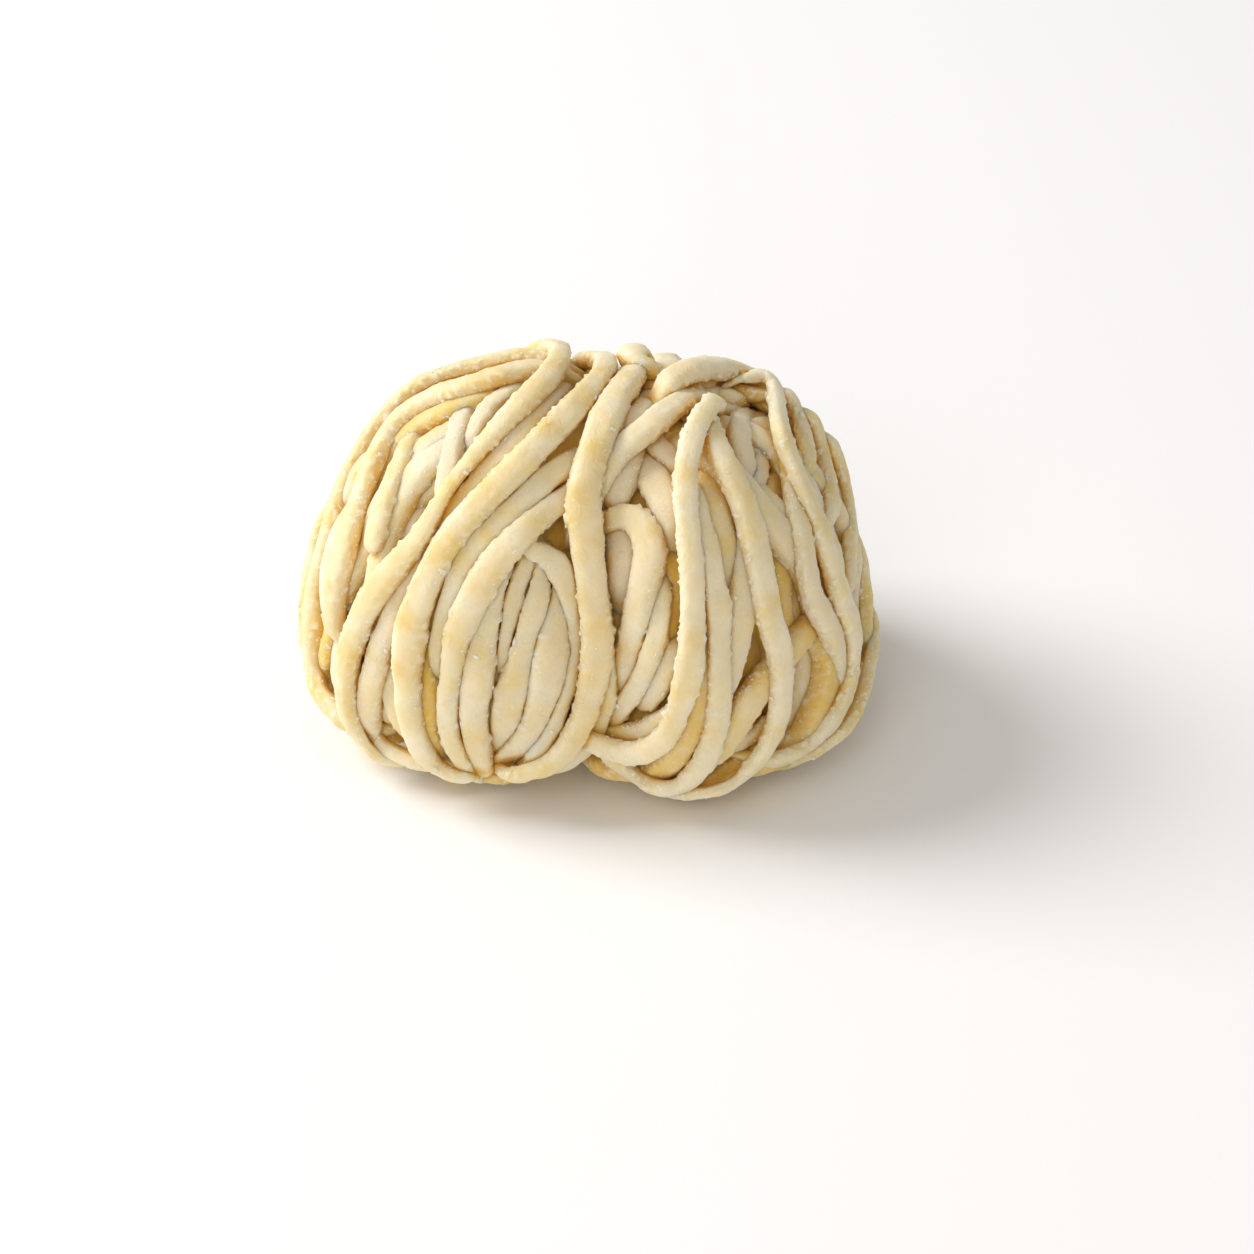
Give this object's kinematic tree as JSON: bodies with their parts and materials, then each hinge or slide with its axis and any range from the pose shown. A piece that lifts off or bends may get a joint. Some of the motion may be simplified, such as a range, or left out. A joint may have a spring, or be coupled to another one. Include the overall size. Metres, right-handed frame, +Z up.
{
  "type": "fresh pasta nest",
  "caption": "Fresh, floured pasta strands gathered into a plump nest of two lobes that meet at a waist, resting on its underside.",
  "frame": {"origin": "middle of the nest's footprint, on the surface that it rests on", "axes": "+X along the nest's length, from the lobe on the left to the lobe on the right; -Y towards the front; +Z up"},
  "size_m": [0.0794, 0.0624, 0.0539],
  "materials": {
    "fresh_pasta": "soft, matt fresh egg dough dusted with flour"
  },
  "bodies": {
    "root": {"pasta_nest": "fresh_pasta"}
  },
  "joints": []
}
